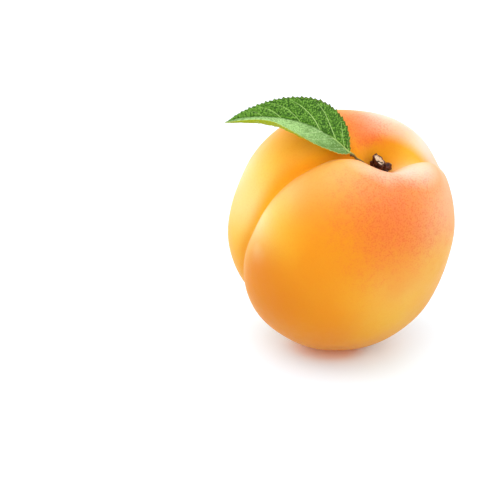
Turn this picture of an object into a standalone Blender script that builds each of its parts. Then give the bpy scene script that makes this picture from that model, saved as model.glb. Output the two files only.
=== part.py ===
"""A whole apricot with the stub of its stem and one leaf, at rest on the small flat spot of its underside.

Blender 4.5, metres, +Z up. The origin is the centre of the flat spot, on the surface that it rests on. The
fruit and the stem are shaped in the fruit's own frame, about the middle of the fruit: +Z runs up the stem
axis, the suture runs down the +X side, and +Y is the front cheek. An empty turns that frame to its pose.
The leaf's route is given in the resting frame, because the blade hangs free above the fruit.
"""

import math

import bmesh
import bpy
import numpy as np
from mathutils import Matrix, Vector

MM = 0.001

# Pose: how far the stem axis leans from upright, towards which heading, and the suture's turn about it.
STEM_LEAN = math.radians(24.6)
LEAN_HEADING = math.radians(-54.1)
SUTURE_TURN = math.radians(-110.1)

# Body of the fruit: a rounded superellipsoid, slightly skewed, with fuller places (direction, share, spread)
# low on the front cheek, on the front cheek and behind the blossom end.
HALF_SUTURE = 24.7 * MM
HALF_CHEEK = 23.9 * MM
HALF_STEM_AXIS = 26.6 * MM
SQUARENESS = 2.3
SKEW = (-0.011, -0.1, -0.049)
FULL_PLACES = (
    ((0.0, 0.559, -0.829), 0.03, 0.1),
    ((0.15, 0.948, -0.28), 0.07, 0.25),
    ((-0.253, -0.101, -0.962), 0.05, 0.2),
)

# Stem cavity: a bowl, a little long along the suture.
CAVITY_DEPTH = 10.0 * MM
CAVITY_RADIUS = 5.3 * MM
CAVITY_STRETCH = 1.3
CAVITY_CENTRE = (-3.9 * MM, 0.1 * MM)

# Suture: a crease between two round lobes, deep at the stem end and shallow at the blossom end.
SUTURE_DEPTH_TOP = 7.4 * MM
SUTURE_DEPTH_END = 1.9 * MM
SUTURE_HALF_WIDTH = 11.0 * MM
SUTURE_ROUNDNESS = 0.52
CREASE_SOFTNESS = 0.07
CREASE_FILL = 0.35

# Valley across from the suture, the dimple at the blossom end, and how the hollows run together.
VALLEY_DEPTH = 3.2 * MM
VALLEY_HALF_WIDTH = 3.0 * MM
VALLEY_END = 0.28
BLOSSOM_DEPTH = 0.6 * MM
BLOSSOM_RADIUS = 3.0 * MM
HOLLOW_BLEND = 1.6

# Flat spot, and the divisions of the fruit's mesh.
FLAT_DEPTH = 0.55 * MM
FRUIT_SEGMENTS = 64
FRUIT_RINGS = 40

# Stem stub, in the fruit's frame: radius and height pairs above its foot, and the bud scale on its side.
STEM_FOOT = (-2.4 * MM, 0.1 * MM, 15.5 * MM)
STEM_PROFILE = (
    (0.0, 0.0),
    (0.5, 0.4),
    (1.05, 1.5),
    (1.45, 2.3),
    (1.6, 3.4),
    (1.45, 4.3),
    (1.65, 5.1),
    (1.3, 5.7),
    (0.0, 5.9),
)
STEM_SEGMENTS = 20
BARK_RIDGES = 5
BARK_RELIEF = 0.07
BUD_CENTRE = (-4.1 * MM, 0.4 * MM, 18.9 * MM)
BUD_RADII = (1.25 * MM, 1.1 * MM, 1.5 * MM)

# Leaf: the midrib's route, and the blade's half width and fold along it.
MIDRIB = (
    (-0.1, -11.1, 49.3),
    (-3.1, -10.7, 52.0),
    (-6.6, -9.7, 54.0),
    (-9.9, -8.5, 55.2),
    (-15.0, -7.3, 56.1),
    (-20.0, -7.2, 56.4),
    (-24.0, -8.2, 56.3),
    (-27.2, -10.3, 55.9),
)
BLADE_HALF_WIDTH = 6.0 * MM
BLADE_WIDEST = 0.608
BLADE_TAPER = 1.2
BLADE_THICKNESS = 0.4 * MM
BLADE_LEAST_WIDTH = 0.25 * MM
TEETH = 36
TOOTH_HEIGHT = 0.3 * MM
BLADE_ROWS = 10
# Slope of the blade across it, in degrees from level and forwards, at these shares of its length: at the
# midrib and at the margin of the near half, and at the midrib and at the margin of the far half.
FOLD_AT = (0.0, 0.25, 0.55, 0.78, 1.0)
NEAR_AT_MIDRIB = (-46.0, -46.0, -58.0, -85.0, -80.0)
NEAR_AT_MARGIN = (-10.0, 0.0, 25.0, 70.0, 55.0)
FAR_AT_MIDRIB = (112.0, 116.0, 116.0, 120.0, 112.0)
FAR_AT_MARGIN = (92.0, 96.0, 98.0, 96.0, 90.0)

# Leaf stalk: from the side of the stub, over the rim of the cavity, to the blade (fruit's frame, mm).
STALK_FOOT = ((0.2, 0.1, 18.9), (1.3, 0.1, 20.0), (2.6, 0.1, 21.0))
STALK_RADIUS = 0.38 * MM
STALK_STEPS = 16


def clear_scene():
    """Removes every object, so that the scene holds only this model."""
    for obj in list(bpy.data.objects):
        bpy.data.objects.remove(obj)


def make_material(name, colour, roughness):
    """A non-metal Principled material of one colour."""
    material = bpy.data.materials.new(name)
    material.use_nodes = True
    shader = material.node_tree.nodes["Principled BSDF"]
    shader.inputs["Base Color"].default_value = (*colour, 1.0)
    shader.inputs["Roughness"].default_value = roughness
    shader.inputs["Metallic"].default_value = 0.0
    return material


def make_object(name, mesh, material):
    """An object in the scene that shows the mesh, shaded smooth except at sharp edges."""
    mesh.shade_smooth()
    mesh.set_sharp_from_angle(angle=math.radians(50.0))
    mesh.materials.append(material)
    obj = bpy.data.objects.new(name, mesh)
    bpy.context.scene.collection.objects.link(obj)
    return obj


def mesh_of(shape, name):
    """The bmesh as a mesh, with its faces turned outwards; the bmesh is freed."""
    bmesh.ops.recalc_face_normals(shape, faces=shape.faces)
    mesh = bpy.data.meshes.new(name)
    shape.to_mesh(mesh)
    shape.free()
    return mesh


def smooth_step(low, high, value):
    """0 below low, 1 above high, and a smooth rise between them."""
    share = np.clip((value - low) / (high - low), 0.0, 1.0)
    return share * share * (3.0 - 2.0 * share)


def fruit_radius(directions):
    """Distance from the middle of the fruit to its skin, along each unit direction (n x 3).

    A superellipsoid, made skew and fuller in three places, less four hollows: a Gaussian bowl for the stem
    cavity, the suture as the cleft between two round lobes, a Gaussian valley opposite it, and a dimple at
    the blossom end. Where the first three meet they run together, as a power sum of their depths.
    """
    x, y, z = directions.T
    sides = np.abs(x / HALF_SUTURE) ** SQUARENESS + np.abs(y / HALF_CHEEK) ** SQUARENESS
    radius = (sides + np.abs(z / HALF_STEM_AXIS) ** SQUARENESS) ** (-1.0 / SQUARENESS)
    radius = radius * (1.0 + directions @ np.array(SKEW))
    for place, share, spread in FULL_PLACES:
        radius = radius * (1.0 + share * np.exp((directions @ np.array(place) - 1.0) / spread))
    along, across = x * radius, y * radius
    from_stem = np.arccos(np.clip(z, -1.0, 1.0)) / math.pi

    stretched = (along - CAVITY_CENTRE[0]) / CAVITY_STRETCH
    reach = np.hypot(stretched, across - CAVITY_CENTRE[1]) / CAVITY_RADIUS
    cavity = CAVITY_DEPTH * np.exp(-(reach**2)) * smooth_step(-0.1, 0.5, z)

    depth = SUTURE_DEPTH_TOP * (1.0 - from_stem) ** 1.2 + SUTURE_DEPTH_END * from_stem
    depth = depth * (1.0 - smooth_step(0.93, 1.0, from_stem)) * smooth_step(-0.25, 0.35, x)
    off_crease = np.hypot(across / SUTURE_HALF_WIDTH, CREASE_SOFTNESS) - CREASE_FILL * CREASE_SOFTNESS
    lobes = 1.0 - (1.0 - np.clip(off_crease, 0.0, 1.0)) ** 2
    suture = depth * (1.0 - lobes**SUTURE_ROUNDNESS)

    fade = smooth_step(-0.05, 0.45, -x) * (1.0 - smooth_step(0.1, VALLEY_END, from_stem))
    valley = VALLEY_DEPTH * fade * np.exp(-((across / VALLEY_HALF_WIDTH) ** 2))
    blossom = np.exp(-(np.hypot(along, across) / BLOSSOM_RADIUS) ** 2) * smooth_step(0.5, 0.9, -z)

    hollows = cavity**HOLLOW_BLEND + suture**HOLLOW_BLEND + valley**HOLLOW_BLEND
    return radius - hollows ** (1.0 / HOLLOW_BLEND) - BLOSSOM_DEPTH * blossom


def pose_rotation():
    """The turn from the fruit's frame to the resting frame."""
    lean = Matrix.Rotation(LEAN_HEADING, 4, "Z") @ Matrix.Rotation(STEM_LEAN, 4, "Y")
    return lean @ Matrix.Rotation(SUTURE_TURN, 4, "Z")


def make_fruit(material):
    """The fruit in its own frame, cut flat where it rests. Returns it and the flat spot's centre."""
    shape = bmesh.new()
    bmesh.ops.create_uvsphere(shape, u_segments=FRUIT_SEGMENTS, v_segments=FRUIT_RINGS, radius=1.0)
    directions = np.array([vertex.co.normalized() for vertex in shape.verts])
    for vertex, radius in zip(shape.verts, fruit_radius(directions)):
        vertex.co = vertex.co.normalized() * radius

    down = pose_rotation().to_3x3().transposed() @ Vector((0.0, 0.0, -1.0))
    lowest = max(vertex.co.dot(down) for vertex in shape.verts)
    everything = shape.verts[:] + shape.edges[:] + shape.faces[:]
    cut_at = down * (lowest - FLAT_DEPTH)
    bmesh.ops.bisect_plane(shape, geom=everything, plane_co=cut_at, plane_no=down, clear_outer=True)
    rim = [edge for edge in shape.edges if edge.is_boundary]
    flat = bmesh.ops.holes_fill(shape, edges=rim)["faces"][0]
    flat_centre = flat.calc_center_median_weighted()
    return make_object("fruit", mesh_of(shape, "fruit"), material), flat_centre


def make_stem(material):
    """The stub: a turned profile with shallow bark ridges, joined to the bud scale on its side."""
    shape = bmesh.new()
    profile = [shape.verts.new((radius * MM, 0.0, height * MM)) for radius, height in STEM_PROFILE]
    edges = [shape.edges.new(pair) for pair in zip(profile, profile[1:])]
    turned = {
        "geom": profile + edges,
        "cent": (0.0, 0.0, 0.0),
        "axis": (0.0, 0.0, 1.0),
        "angle": 2.0 * math.pi,
        "steps": STEM_SEGMENTS,
    }
    bmesh.ops.spin(shape, **turned)
    bmesh.ops.remove_doubles(shape, verts=shape.verts, dist=0.01 * MM)
    for vertex in shape.verts:
        turn = math.atan2(vertex.co.y, vertex.co.x)
        relief = 1.0 + BARK_RELIEF * math.sin(BARK_RIDGES * turn + vertex.co.z / MM)
        vertex.co.x *= relief
        vertex.co.y *= relief
    bmesh.ops.translate(shape, verts=shape.verts, vec=STEM_FOOT)
    stem = make_object("stem", mesh_of(shape, "stem"), material)

    bud_shape = bmesh.new()
    bmesh.ops.create_uvsphere(bud_shape, u_segments=16, v_segments=10, radius=1.0)
    bmesh.ops.scale(bud_shape, verts=bud_shape.verts, vec=BUD_RADII)
    bmesh.ops.translate(bud_shape, verts=bud_shape.verts, vec=BUD_CENTRE)
    bud = make_object("bud_scale", mesh_of(bud_shape, "bud_scale"), material)
    join_to(stem, bud)
    return stem, bud


def join_to(obj, other):
    """A Boolean union of other into obj; other stays as a guide that isn't part of the model."""
    union = obj.modifiers.new("join", "BOOLEAN")
    union.operation = "UNION"
    union.object = other
    other.hide_render = True
    other.display_type = "WIRE"


def smooth_route(points, samples):
    """Points on a Catmull-Rom curve through the given points, evenly spaced along it."""
    ends = np.vstack([2.0 * points[0] - points[1], points, 2.0 * points[-1] - points[-2]])
    spans = len(points) - 1
    place = np.linspace(0.0, spans, 40 * spans + 1)
    span = np.minimum(place.astype(int), spans - 1)
    share = (place - span)[:, None]
    a, b, c, d = (ends[span + step] for step in range(4))
    curve = 2.0 * b + (c - a) * share + (2.0 * a - 5.0 * b + 4.0 * c - d) * share**2
    curve = 0.5 * (curve + (3.0 * b - a - 3.0 * c + d) * share**3)
    reached = np.concatenate([[0.0], np.cumsum(np.linalg.norm(np.diff(curve, axis=0), axis=1))])
    even = np.linspace(0.0, reached[-1], samples)
    return np.stack([np.interp(even, reached, curve[:, axis]) for axis in range(3)], axis=1)


def blade_points(shares, sides):
    """The blade's middle surface: shares of the length from 0 to 1, sides from -1 (near) to 1 (far).

    Across each half the slope turns evenly from its value at the midrib to its value at the margin, so a
    half is the arc that those slopes trace, scaled to the half width and its teeth. The half width follows
    a power of the sine of a power of the length, which puts the widest place near the stalk.
    """
    stations = np.unique(shares)
    route = smooth_route(np.array(MIDRIB) * MM, len(stations))
    tangent = np.gradient(route, axis=0)
    tangent /= np.linalg.norm(tangent, axis=1, keepdims=True)
    forward = np.array([0.0, -1.0, 0.0]) + tangent * tangent[:, 1:2]
    forward /= np.linalg.norm(forward, axis=1, keepdims=True)
    upward = np.cross(tangent, forward)

    place = np.searchsorted(stations, shares)
    reach = np.abs(sides)
    wave = 1.0 - np.abs(2.0 * ((shares * TEETH) % 1.0) - 1.0)
    width = BLADE_HALF_WIDTH * np.sin(math.pi * shares**BLADE_WIDEST) ** BLADE_TAPER
    tooth = TOOTH_HEIGHT * (wave - 0.5) * np.clip(width / BLADE_HALF_WIDTH * 3.0, 0.0, 1.0)
    width = np.maximum(width + tooth * reach**6, BLADE_LEAST_WIDTH)

    near = [np.interp(shares, FOLD_AT, slopes) for slopes in (NEAR_AT_MIDRIB, NEAR_AT_MARGIN)]
    far = [np.interp(shares, FOLD_AT, slopes) for slopes in (FAR_AT_MIDRIB, FAR_AT_MARGIN)]
    first = np.radians(np.where(sides < 0.0, near[0], far[0]))
    last = np.radians(np.where(sides < 0.0, near[1], far[1]))
    steps = (np.arange(12) + 0.5) / 12.0
    slopes = first[:, None] + (last - first)[:, None] * steps * reach[:, None]
    out = (np.cos(slopes).mean(axis=1) * reach * width)[:, None]
    rise = (np.sin(slopes).mean(axis=1) * reach * width)[:, None]
    return route[place] + forward[place] * out + upward[place] * rise


def make_leaf(material, to_rest):
    """The leaf: a thin toothed blade, joined to the stalk that runs down to the stub."""
    shape = bmesh.new()
    bmesh.ops.create_grid(shape, x_segments=2 * TEETH, y_segments=BLADE_ROWS, size=1.0)
    flat = np.array([vertex.co for vertex in shape.verts])
    points = blade_points(np.round(0.5 + 0.5 * flat[:, 0], 6), np.round(flat[:, 1], 6))
    for vertex, point in zip(shape.verts, points):
        vertex.co = point
    leaf = make_object("leaf", mesh_of(shape, "leaf"), material)
    solidify = leaf.modifiers.new("thickness", "SOLIDIFY")
    solidify.thickness = BLADE_THICKNESS
    solidify.offset = 0.0

    foot = [to_rest @ (Vector(point) * MM) for point in STALK_FOOT]
    route = np.array(foot + [Vector(point) * MM for point in MIDRIB[:2]])
    stalk_curve = bpy.data.curves.new("stalk", "CURVE")
    stalk_curve.dimensions = "3D"
    stalk_curve.bevel_depth = STALK_RADIUS
    stalk_curve.bevel_resolution = 2
    stalk_curve.use_fill_caps = True
    spline = stalk_curve.splines.new("POLY")
    spline.points.add(STALK_STEPS - 1)
    for point, place in zip(spline.points, smooth_route(route, STALK_STEPS)):
        point.co = (*place, 1.0)
    guide = bpy.data.objects.new("stalk_guide", stalk_curve)
    stalk = make_object("stalk", bpy.data.meshes.new_from_object(guide), material)
    bpy.data.objects.remove(guide)
    join_to(leaf, stalk)
    return leaf


def main():
    clear_scene()
    skin = make_material("apricot_skin", (0.93, 0.42, 0.06), 0.55)
    bark = make_material("stem_bark", (0.12, 0.05, 0.03), 0.7)
    green = make_material("leaf_green", (0.10, 0.26, 0.04), 0.5)
    fruit, flat_centre = make_fruit(skin)
    stem, bud = make_stem(bark)

    pose = bpy.data.objects.new("fruit_pose", None)
    bpy.context.scene.collection.objects.link(pose)
    to_rest = Matrix.Translation(-(pose_rotation() @ flat_centre)) @ pose_rotation()
    pose.location = to_rest.translation
    pose.rotation_euler = to_rest.to_euler()
    for obj in (fruit, stem, bud):
        obj.parent = pose
    make_leaf(green, to_rest)


main()
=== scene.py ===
"""The finished look of a whole apricot with the stub of its stem and one leaf.

Every surface is worked out with numpy as rings of points, in metres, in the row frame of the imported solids.
The fruit, the stub and the foot of the leaf stalk are shaped in the fruit's own frame, about its middle:
+Z runs up the stem axis, the suture runs down the +X side, and +Y is the front cheek.
"""

import math

import bpy
import numpy as np
from mathutils import Matrix, Vector


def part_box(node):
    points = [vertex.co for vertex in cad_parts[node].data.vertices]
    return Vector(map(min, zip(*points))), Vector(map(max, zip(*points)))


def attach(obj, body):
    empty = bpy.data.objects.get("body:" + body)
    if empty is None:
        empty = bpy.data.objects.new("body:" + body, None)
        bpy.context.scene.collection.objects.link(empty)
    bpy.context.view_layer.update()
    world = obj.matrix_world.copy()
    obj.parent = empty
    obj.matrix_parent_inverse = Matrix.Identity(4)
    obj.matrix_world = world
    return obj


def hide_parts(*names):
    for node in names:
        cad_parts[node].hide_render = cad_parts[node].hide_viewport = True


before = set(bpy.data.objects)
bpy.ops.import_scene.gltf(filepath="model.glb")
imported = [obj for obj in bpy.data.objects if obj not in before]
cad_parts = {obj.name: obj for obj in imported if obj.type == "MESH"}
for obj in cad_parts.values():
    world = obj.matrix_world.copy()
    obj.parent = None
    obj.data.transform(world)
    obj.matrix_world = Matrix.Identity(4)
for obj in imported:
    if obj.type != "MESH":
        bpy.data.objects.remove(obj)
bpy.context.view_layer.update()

MM = 0.001

# ------------------------------------------------------------------ the fruit's sizes

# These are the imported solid's, with the valley and two shoulders of the front cheek made finer.
STEM_LEAN = math.radians(24.6)
LEAN_HEADING = math.radians(-54.1)
SUTURE_TURN = math.radians(-110.1)
MIDDLE_FROM_BOX_CENTRE = (0.88 * MM, -2.60 * MM, 0.77 * MM)

HALF_SUTURE = 24.7 * MM
HALF_CHEEK = 23.9 * MM
HALF_STEM_AXIS = 26.6 * MM
SQUARENESS = 2.3
SKEW = (-0.011, -0.1, -0.049)
# Where the fruit is fuller: direction in the fruit's frame, share of the radius added, and spread.
FULL_PLACES = (
    ((0.0, 0.559, -0.829), 0.03, 0.1),
    ((0.15, 0.948, -0.28), 0.07, 0.25),
    ((-0.253, -0.101, -0.962), 0.05, 0.2),
    ((-0.44, 0.16, 0.884), 0.058, 0.02),
    ((0.422, 0.079, 0.903), 0.030, 0.015),
)
CAVITY_DEPTH = 10.0 * MM
CAVITY_RADIUS = 5.3 * MM
CAVITY_STRETCH = 1.3
CAVITY_CENTRE = (-3.9 * MM, 0.1 * MM)
SUTURE_DEPTH_TOP = 7.4 * MM
SUTURE_DEPTH_END = 1.9 * MM
SUTURE_HALF_WIDTH = 11.0 * MM
SUTURE_ROUNDNESS = 0.52
CREASE_SOFTNESS = 0.07
CREASE_FILL = 0.35
# The valley ends at this share of the way from the stem end to the blossom end.
VALLEY_END = 0.36
VALLEY_DEPTH = 3.9 * MM
VALLEY_FRONT_WIDTH = 2.0 * MM
VALLEY_BACK_WIDTH = 4.4 * MM
VALLEY_BEND = 4.0 * MM
BLOSSOM_DEPTH = 0.6 * MM
BLOSSOM_RADIUS = 3.0 * MM
HOLLOW_BLEND = 1.6
# A hollow this far sunk has the full colour of the hollows, among it a brighter orange painted as light.
DEEP_HOLLOW = 8.0 * MM
FLAT_EDGE = 0.22 * MM
SKIN_WAVE_LENGTH = 13.0 * MM
SKIN_WAVE_HEIGHT = 0.10 * MM
SKIN_WAVE_SEED = 5
PUCKERS = 17.0
PUCKER_HEIGHT = 0.018 * MM
PUCKER_CENTRE = -2.4 * MM
FRUIT_COLUMNS = 400
FRUIT_ROWS = 236
SUTURE_CROWDING = 0.5

# ------------------------------------------------------------------ the leaf's sizes

# The midrib in mm, in the row frame, from the stalk to the tip.
MIDRIB = (
    (-0.1, -11.1, 49.3),
    (-3.1, -10.7, 52.0),
    (-6.6, -9.7, 54.0),
    (-9.9, -8.5, 55.2),
    (-15.0, -7.3, 56.1),
    (-20.0, -7.2, 56.4),
    (-24.0, -8.2, 56.3),
    (-27.2, -10.3, 55.9),
)
BLADE_HALF_WIDTH = 6.0 * MM
BLADE_WIDEST = 0.608
BLADE_TAPER = 1.2
BLADE_LEAST_WIDTH = 0.12 * MM
TEETH = 36
TOOTH_HEIGHT = 0.34 * MM
# The share of a tooth, from the stalk towards the tip, over which it rises.
TOOTH_RISE = 0.75
# How each half folds, knot by knot: share of the length, slope at the midrib and at the margin in degrees,
# and the half's width as a share of the blade's half width. Near is the -Y half.
NEAR_FOLD = (
    (0.00, -46.0, -10.0, 1.00),
    (0.12, -46.0, 8.0, 1.15),
    (0.25, -46.0, 20.0, 1.32),
    (0.35, -49.0, 32.0, 1.36),
    (0.45, -46.0, 38.0, 1.36),
    (0.55, -46.0, 47.0, 1.46),
    (0.62, -49.0, 57.0, 1.56),
    (0.70, -53.0, 64.0, 1.72),
    (0.78, -59.0, 68.0, 2.00),
    (0.85, -62.0, 66.0, 2.42),
    (0.90, -63.0, 64.0, 2.95),
    (0.95, -63.0, 62.0, 4.26),
    (1.00, -63.0, 60.0, 4.40),
)
FAR_FOLD = (
    (0.00, 112.0, 92.0, 0.55),
    (0.03, 112.0, 92.0, 0.60),
    (0.08, 113.0, 93.0, 0.73),
    (0.15, 114.0, 94.0, 0.89),
    (0.25, 116.0, 96.0, 0.97),
    (0.35, 116.0, 97.0, 1.00),
    (0.55, 116.0, 98.0, 1.00),
    (0.78, 120.0, 96.0, 1.00),
    (1.00, 112.0, 90.0, 1.00),
)
KNOT_ROUNDING = 0.03
BLADE_ROWS = 433
BLADE_COLUMNS = 96
BLADE_THICKNESS = 0.24 * MM
BLADE_LENGTH = 30.0 * MM
MIDRIB_HALF_WIDTH = 0.22 * MM
VEIN_HALF_WIDTH = 0.08 * MM
# A side vein slants, so its distance is this share of the way to it along the blade.
VEIN_SLOPE = 0.7
QUILT_WIDTH = 0.9 * MM
# Heights on the blade's face, in mm.
QUILT_HEIGHT = 0.13
MIDRIB_DEPTH = 0.12
# Crinkles of the blade: height in mm, wavelength, seed and number of waves.
CRINKLES = ((0.04, 1.3 * MM, 11, 14), (0.03, 0.62 * MM, 12, 40))
# Side veins: where each leaves the midrib, as a share of the length, how far its end lies towards the tip,
# and how bold it is.
SIDE_VEINS = (
    (0.000, 0.10, 0.7),
    (0.045, 0.17, 0.8),
    (0.130, 0.28, 1.0),
    (0.270, 0.31, 1.0),
    (0.425, 0.28, 0.6),
    (0.570, 0.22, 0.7),
    (0.700, 0.15, 0.5),
    (0.815, 0.10, 0.4),
)

# The stalk from its foot in the cavity to the blade, in mm, in the fruit's frame.
STALK_FOOT = (
    (-0.5, 0.1, 17.2),
    (0.6, 0.1, 18.5),
    (1.6, 0.1, 19.5),
    (2.6, 0.1, 20.15),
    (3.6, 0.1, 20.6),
    (4.7, 0.0, 21.55),
)
STALK_RADIUS = 0.27 * MM
# The stalk's thickness along its length, as a share of its radius.
STALK_TAPER = ((0.0, 1.25), (0.12, 0.95), (0.24, 0.9), (0.4, 0.55), (1.0, 0.12))
STALK_ROWS = 150
STALK_COLUMNS = 20
# How far the rib hangs below the blade's middle along the midrib, in mm, and where along it the rib ends. Its
# route takes every sixth of about 60 points of the midrib.
RIB_BELOW = ((0.0, 0.0), (0.1, 0.16), (1.0, 0.1))
RIB_END = 0.86
RIB_SAMPLES = 60
RIB_STEP = 6
# The brown glands on the stalk below the blade, in the fruit's frame: centre and half sizes in mm, tilt from
# upright and its heading in degrees.
GLANDS = (
    ((5.25, 0.15, 21.5), (0.24, 0.20, 0.32), 50.0, 0.0),
    ((4.65, 0.12, 21.3), (0.17, 0.15, 0.26), 50.0, 180.0),
)
GLAND_SEED = 41

# ------------------------------------------------------------------ the stem's sizes

STEM_FOOT = (-2.4 * MM, 0.1 * MM, 15.5 * MM)
# Outline of the stub from its foot, up its bark and over its broken end to the middle: radius and height.
STUB_OUTLINE = (
    (0.0, 0.0),
    (0.6, 0.3),
    (1.1, 1.4),
    (1.35, 2.3),
    (1.5, 3.2),
    (1.42, 3.9),
    (1.5, 4.5),
    (1.52, 4.9),
    (1.42, 5.2),
    (1.24, 5.25),
    (1.12, 5.02),
    (0.6, 5.15),
    (0.0, 5.2),
)
# Where the broken end starts, in points of the outline.
BROKEN_END_FROM = 9.4
STUB_ROWS = 200
STUB_COLUMNS = 120
STUB_LEAN = 0.11
END_SLANT = 0.41
END_TIP = 0.22
# The bark's ridges and knobs, whose heights are shares of the radius: a knob's height, wavelength and seed.
RIDGES = 7.0
RIDGE_HEIGHT = 0.05
KNOBS = ((0.13, 1.7 * MM, 21), (0.08, 0.6 * MM, 22))
# The crack across the broken end, with wood a step lower on one side of it, and the chips all over the end.
SPLIT_ASIDE = 0.35 * MM
SPLIT_TURN = 0.15
SPLIT_HALF_WIDTH = 0.10 * MM
SPLIT_DEPTH = 0.22 * MM
STEP_HEIGHT = 0.18 * MM
CHIP_HEIGHT = 0.12 * MM
CHIP_LENGTH = 0.9 * MM
CHIP_SEED = 23
# The splinter at its rim: height, turn about the stub in radians, and place in points of the outline.
SPLINTER_HEIGHT = 0.55 * MM
SPLINTER_TURN = 5.35
SPLINTER_AT = 8.4
# Bud scales in the fruit's frame: centre and half sizes in mm, tilt from upright and its heading in degrees.
BUD_SCALES = (
    ((-4.15, 0.3, 18.95), (1.0, 0.95, 1.15), 35.0, 180.0),
    ((-3.5, 1.15, 18.2), (0.75, 0.7, 1.0), 40.0, 120.0),
    ((-3.2, -0.9, 18.3), (0.7, 0.7, 1.0), 35.0, 230.0),
    ((-1.4, 1.25, 18.6), (0.6, 0.5, 0.9), 30.0, 60.0),
    ((-0.9, -0.5, 18.9), (0.55, 0.6, 1.1), 20.0, 0.0),
)
BUD_SCALE_SEED = 31
OVOID_ROWS = 30
OVOID_COLUMNS = 32
OVOID_POINT = 1.15

# ------------------------------------------------------------------ numpy shapes


def smooth_step(low, high, value):
    """0 below low, 1 above high, and a smooth rise between them."""
    share = np.clip((value - low) / (high - low), 0.0, 1.0)
    return share * share * (3.0 - 2.0 * share)


def unit(vectors):
    """The vectors (last axis x, y, z) scaled to length 1."""
    return vectors / np.maximum(np.linalg.norm(vectors, axis=-1, keepdims=True), 1e-12)


def ripple(points, wavelength, seed, waves=14):
    """A smooth random field from about -1 to 1: sine waves in random directions, whose lengths lie between
    two thirds and one and a half times the wavelength, added up over the root of twice their number."""
    draw = np.random.default_rng(seed)
    directions = unit(draw.normal(size=(waves, 3)))
    numbers = 2.0 * math.pi / (wavelength * draw.uniform(0.67, 1.5, waves))
    phases = draw.uniform(0.0, 2.0 * math.pi, waves)
    return np.sin(points @ (directions * numbers[:, None]).T + phases).sum(-1) / math.sqrt(2.0 * waves)


def skin(name, shells, finish, replaced, fields):
    """One mesh object over closed shells of rings (rows x columns x 3).

    In each shell neighbouring rings are joined by four-sided faces, each ring closes on itself, and the first
    and last rings are single points that close the ends with triangles. The faces are turned outwards by the
    sign of the volume that the rings enclose. Fields (rows x columns) are stored on the points by name. The
    finished piece rides on the root body and stands for the replaced solid.
    """
    vertices, faces, stored = [], [], {key: [] for key in fields[0]}
    start = 0
    for number, rings in enumerate(shells):
        rows, columns = rings.shape[:2]
        inner = start + 1 + np.arange((rows - 2) * columns).reshape(rows - 2, columns)
        beside = np.roll(inner, -1, axis=1)
        last = start + 1 + (rows - 2) * columns
        quads = np.stack([inner[:-1], beside[:-1], beside[1:], inner[1:]], axis=-1).reshape(-1, 4)
        first_cap = np.stack([np.full(columns, start), beside[0], inner[0]], axis=-1)
        last_cap = np.stack([np.full(columns, last), inner[-1], beside[-1]], axis=-1)
        about = rings - rings.mean(axis=(0, 1))
        volume = (np.cross(about[:-1], np.roll(about, -1, axis=1)[:-1]) * about[1:]).sum()
        outward = 1 if volume > 0.0 else -1
        for group in (quads, first_cap, last_cap):
            faces += group[:, ::outward].tolist()
        vertices.append(one_per_vertex(rings))
        for key in stored:
            stored[key].append(one_per_vertex(fields[number][key]))
        start = last + 1
    mesh = bpy.data.meshes.new(name)
    mesh.from_pydata(np.concatenate(vertices).tolist(), [], faces)
    for key, parts in stored.items():
        layer = mesh.attributes.new(key, "FLOAT", "POINT")
        layer.data.foreach_set("value", np.concatenate(parts).astype(np.float32))
    mesh.shade_smooth()
    mesh.materials.append(finish)
    piece = bpy.data.objects.new(name, mesh)
    bpy.context.scene.collection.objects.link(piece)
    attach(piece, "root")
    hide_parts(replaced)


def one_per_vertex(grid):
    """A grid over rings as the mesh's vertices have it, with one entry for each closed end."""
    inner = grid[1:-1].reshape(-1, *grid.shape[2:])
    return np.concatenate([grid[:1, 0], inner, grid[-1:, 0]])


def route_through(points, samples):
    """Points on a Catmull-Rom curve through the given points, evenly spaced along it."""
    points = np.asarray(points, float)
    ends = np.vstack([2.0 * points[0] - points[1], points, 2.0 * points[-1] - points[-2]])
    spans = len(points) - 1
    place = np.linspace(0.0, spans, 40 * spans + 1)
    span = np.minimum(place.astype(int), spans - 1)
    share = (place - span)[:, None]
    a, b, c, d = (ends[span + step] for step in range(4))
    curve = 2.0 * b + (c - a) * share + (2.0 * a - 5.0 * b + 4.0 * c - d) * share**2
    curve = 0.5 * (curve + (3.0 * b - a - 3.0 * c + d) * share**3)
    reached = np.concatenate([[0.0], np.cumsum(np.linalg.norm(np.diff(curve, axis=0), axis=1))])
    even = np.linspace(0.0, reached[-1], samples)
    return np.stack([np.interp(even, reached, curve[:, axis]) for axis in range(3)], axis=1)


def tube(route, radii, columns):
    """Rings about a route: each lies square to the route, and the end rings shrink to points."""
    tangent = unit(np.gradient(route, axis=0))
    side = unit(np.cross(tangent, np.array([0.0, 1.0, 0.1])))
    over = np.cross(tangent, side)
    angle = np.linspace(0.0, 2.0 * math.pi, columns, endpoint=False)[None, :, None]
    radii = np.array(radii, float)
    radii[[0, -1]] = 0.0
    out = side[:, None] * np.cos(angle) + over[:, None] * np.sin(angle)
    return route[:, None] + out * radii[:, None, None]


# ------------------------------------------------------------------ the fruit


def pose_matrix():
    """The turn from the fruit's frame to the row frame, as a numpy 3 x 3 matrix."""
    lean = Matrix.Rotation(LEAN_HEADING, 3, "Z") @ Matrix.Rotation(STEM_LEAN, 3, "Y")
    return np.array(lean @ Matrix.Rotation(SUTURE_TURN, 3, "Z"))


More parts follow.
